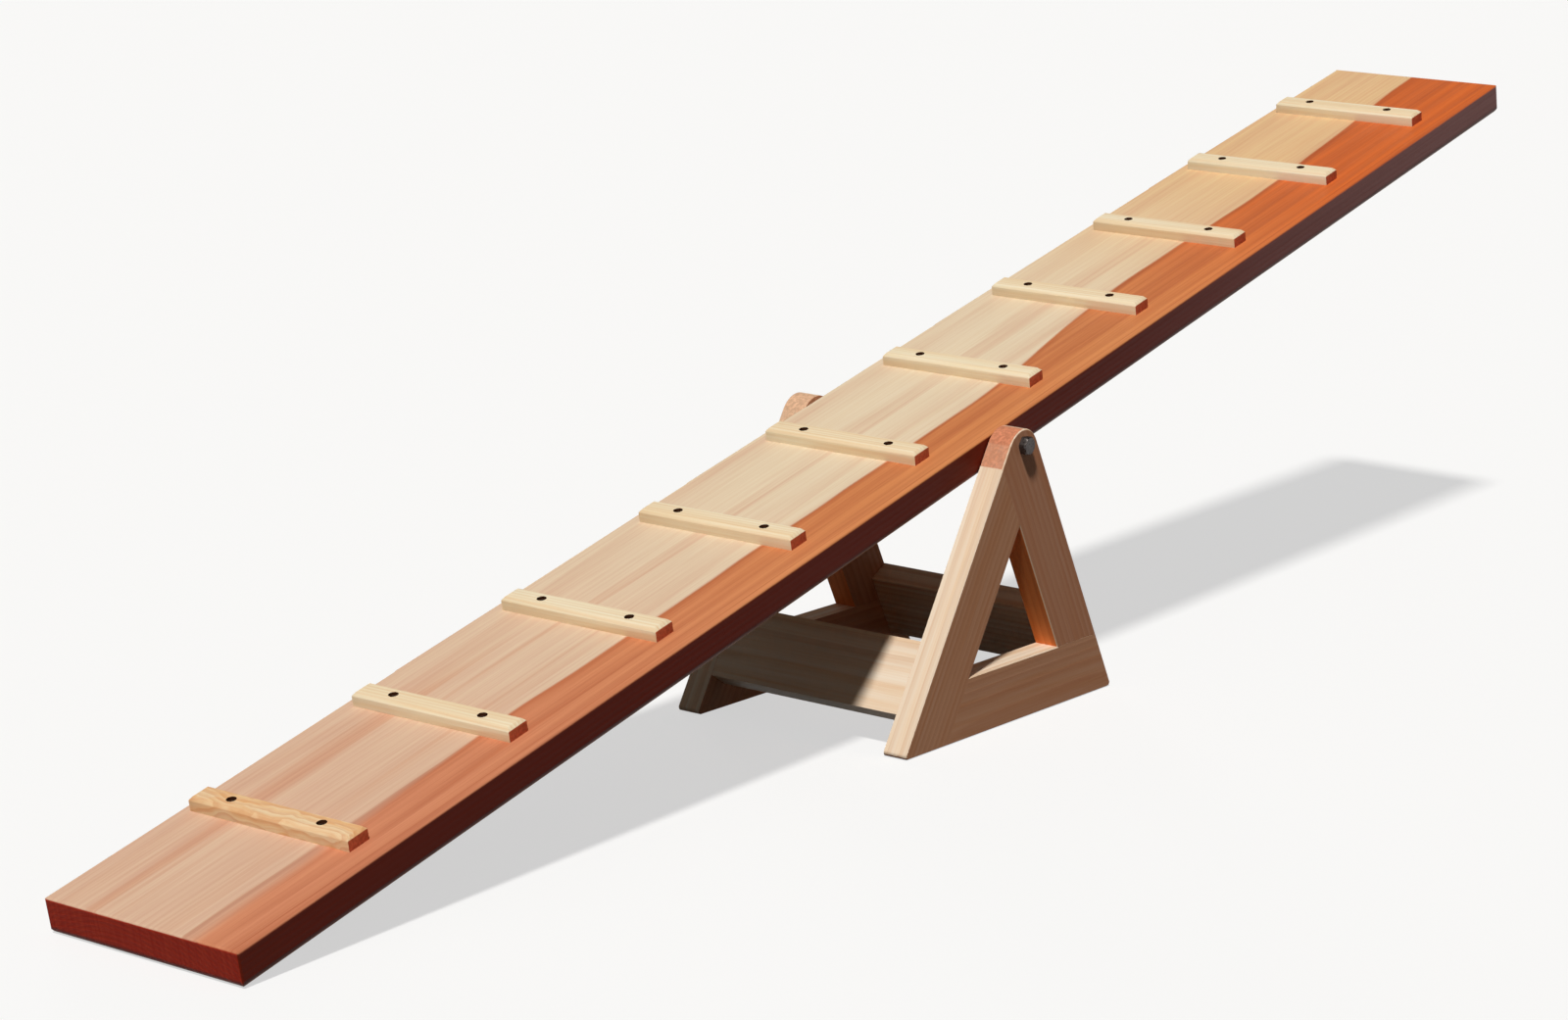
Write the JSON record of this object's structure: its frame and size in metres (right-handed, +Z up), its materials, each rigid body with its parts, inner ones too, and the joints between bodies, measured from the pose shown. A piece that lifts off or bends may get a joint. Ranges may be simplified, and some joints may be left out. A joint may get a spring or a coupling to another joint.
{
  "type": "walking seesaw",
  "caption": "Walking seesaw for children: a long wooden plank with grip cleats that tips on bolts between two round-headed triangular frames.",
  "frame": {"origin": "on the floor, under the middle of the overall length at rest, midway between the two frames", "axes": "+X along the plank towards its raised end, +Y to the left of someone walking up it, +Z up"},
  "size_m": [2.3752, 0.318, 0.6107],
  "materials": {
    "board_wood": "clear oil, satin",
    "cleat_wood": "clear oil, satin",
    "frame_wood": "clear oil, satin",
    "dowel_wood": "bare",
    "screw_steel": "dark oxide",
    "bolt_steel": "dark, lightly worn",
    "washer_steel": "plain zinc"
  },
  "bodies": {
    "stand": {"right_front_leg": "frame_wood", "right_rear_leg": "frame_wood", "right_bottom_rail": "frame_wood", "left_front_leg": "frame_wood", "left_rear_leg": "frame_wood", "left_bottom_rail": "frame_wood", "front_stretcher": "frame_wood", "rear_stretcher": "frame_wood", "frame_dowels": "dowel_wood", "stretcher_dowels": "dowel_wood"},
    "plank": {"plank": "board_wood", "cleat_01": "cleat_wood", "cleat_02": "cleat_wood", "cleat_03": "cleat_wood", "cleat_04": "cleat_wood", "cleat_05": "cleat_wood", "cleat_06": "cleat_wood", "cleat_07": "cleat_wood", "cleat_08": "cleat_wood", "cleat_09": "cleat_wood", "cleat_10": "cleat_wood", "cleat_screws": "screw_steel", "right_pivot_bolt": "bolt_steel", "left_pivot_bolt": "bolt_steel", "spacer_washers": "washer_steel"}
  },
  "joints": [
    {"name": "plank_tilt", "type": "hinge", "parent": "stand", "child": "plank", "pos_m": [0.00374, 0, 0.309], "axis": [0, 1, 0], "range_deg": [0, 27.4]}
  ]
}
